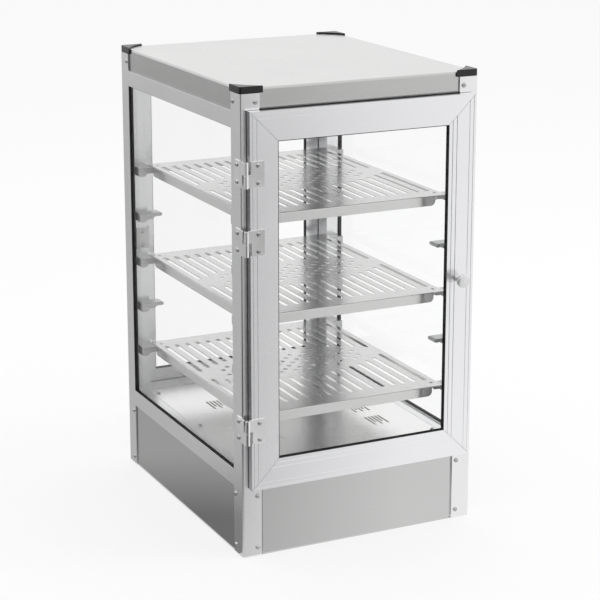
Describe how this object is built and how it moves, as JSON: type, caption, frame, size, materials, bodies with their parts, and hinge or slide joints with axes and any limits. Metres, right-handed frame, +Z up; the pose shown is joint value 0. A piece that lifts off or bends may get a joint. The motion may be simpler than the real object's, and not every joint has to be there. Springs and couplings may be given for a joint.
{
  "type": "glass display case",
  "caption": "Countertop glass display case: aluminium corner posts, glass sides, hinged glass doors front and rear, slotted steel shelves on brackets and a heated base.",
  "frame": {"origin": "centre of the footprint on the surface the case stands on", "axes": "+Z up, -Y towards the front door, +X to the right when facing the front door"},
  "size_m": [0.3698, 0.496, 0.66],
  "materials": {
    "frame_aluminium": "satin anodised",
    "door_aluminium": "satin anodised",
    "sheet_steel": "brushed stainless sheet",
    "shelf_steel": "fine brushed stainless sheet",
    "bracket_steel": "dull stainless",
    "cap_plastic": "black moulded",
    "clear_glass": "clear toughened",
    "black_rubber": "matt black",
    "hinge_steel": "nickel plated",
    "screw_steel": "bright pan heads",
    "knob_metal": "satin turned",
    "black_plastic": "black moulded",
    "element_steel": "heat-darkened tube",
    "switch_red": "translucent red rocker",
    "white_ceramic": "glazed"
  },
  "bodies": {
    "case": {"post_front_left": "frame_aluminium", "post_front_right": "frame_aluminium", "post_rear_left": "frame_aluminium", "post_rear_right": "frame_aluminium", "upper_side_rails": "frame_aluminium", "lower_side_rails": "frame_aluminium", "upper_cross_rails": "frame_aluminium", "lower_cross_rails": "frame_aluminium", "top_cover": "sheet_steel", "top_liner": "sheet_steel", "floor_deck": "sheet_steel", "base_panel_front": "sheet_steel", "base_panel_rear": "sheet_steel", "base_panel_left": "sheet_steel", "base_panel_right": "sheet_steel", "base_plate": "sheet_steel", "shelf_brackets_left": "bracket_steel", "shelf_brackets_right": "bracket_steel", "corner_caps": "cap_plastic", "side_glass_left": "clear_glass", "side_glass_right": "clear_glass", "side_glass_rubbers": "black_rubber", "door_seals": "black_rubber", "hinge_post_leaves": "hinge_steel", "hinge_pins": "hinge_steel", "door_catches": "sheet_steel", "catch_magnets": "black_plastic", "frame_screws": "screw_steel", "heating_element": "element_steel", "element_bracket": "sheet_steel", "thermostat_body": "black_plastic", "switch_housing": "black_plastic", "cord_gland": "black_plastic", "terminal_block": "white_ceramic"},
    "front_door": {"front_door_hinge_stile": "door_aluminium", "front_door_latch_stile": "door_aluminium", "front_door_top_rail": "door_aluminium", "front_door_bottom_rail": "door_aluminium", "front_door_glass": "clear_glass", "front_door_glass_rubber": "black_rubber", "front_door_hinge_leaves": "hinge_steel", "front_door_screws": "screw_steel", "front_door_knob": "knob_metal", "front_door_strike": "sheet_steel"},
    "rear_door": {"rear_door_hinge_stile": "door_aluminium", "rear_door_latch_stile": "door_aluminium", "rear_door_top_rail": "door_aluminium", "rear_door_bottom_rail": "door_aluminium", "rear_door_glass": "clear_glass", "rear_door_glass_rubber": "black_rubber", "rear_door_hinge_leaves": "hinge_steel", "rear_door_screws": "screw_steel", "rear_door_knob": "knob_metal", "rear_door_strike": "sheet_steel"},
    "shelf_top": {"shelf_top": "shelf_steel"},
    "shelf_middle": {"shelf_middle": "shelf_steel"},
    "shelf_bottom": {"shelf_bottom": "shelf_steel"},
    "thermostat_dial": {"thermostat_dial": "black_plastic"},
    "rocker_switch": {"rocker_switch": "switch_red"}
  },
  "joints": [
    {"name": "front_door_hinge", "type": "hinge", "parent": "case", "child": "front_door", "pos_m": [-0.17935, -0.23225, 0.36455], "axis": [0, 0, 1], "range_deg": [-250, 0]},
    {"name": "rear_door_hinge", "type": "hinge", "parent": "case", "child": "rear_door", "pos_m": [0.17935, 0.23225, 0.36455], "axis": [0, 0, 1], "range_deg": [-250, 0]},
    {"name": "shelf_top_lift", "type": "slide", "parent": "case", "child": "shelf_top", "axis": [0, 0, 1], "range_m": [0, 0.016]},
    {"name": "shelf_middle_lift", "type": "slide", "parent": "case", "child": "shelf_middle", "axis": [0, 0, 1], "range_m": [0, 0.016]},
    {"name": "shelf_bottom_lift", "type": "slide", "parent": "case", "child": "shelf_bottom", "axis": [0, 0, 1], "range_m": [0, 0.016]},
    {"name": "thermostat_turn", "type": "hinge", "parent": "case", "child": "thermostat_dial", "pos_m": [0.09502, 0.2155, 0.052], "axis": [0, -1, 0], "range_deg": [0, 270]},
    {"name": "rocker_tilt", "type": "hinge", "parent": "case", "child": "rocker_switch", "pos_m": [-0.09502, 0.2145, 0.052], "axis": [1, 0, 0], "range_deg": [0, 16]}
  ]
}
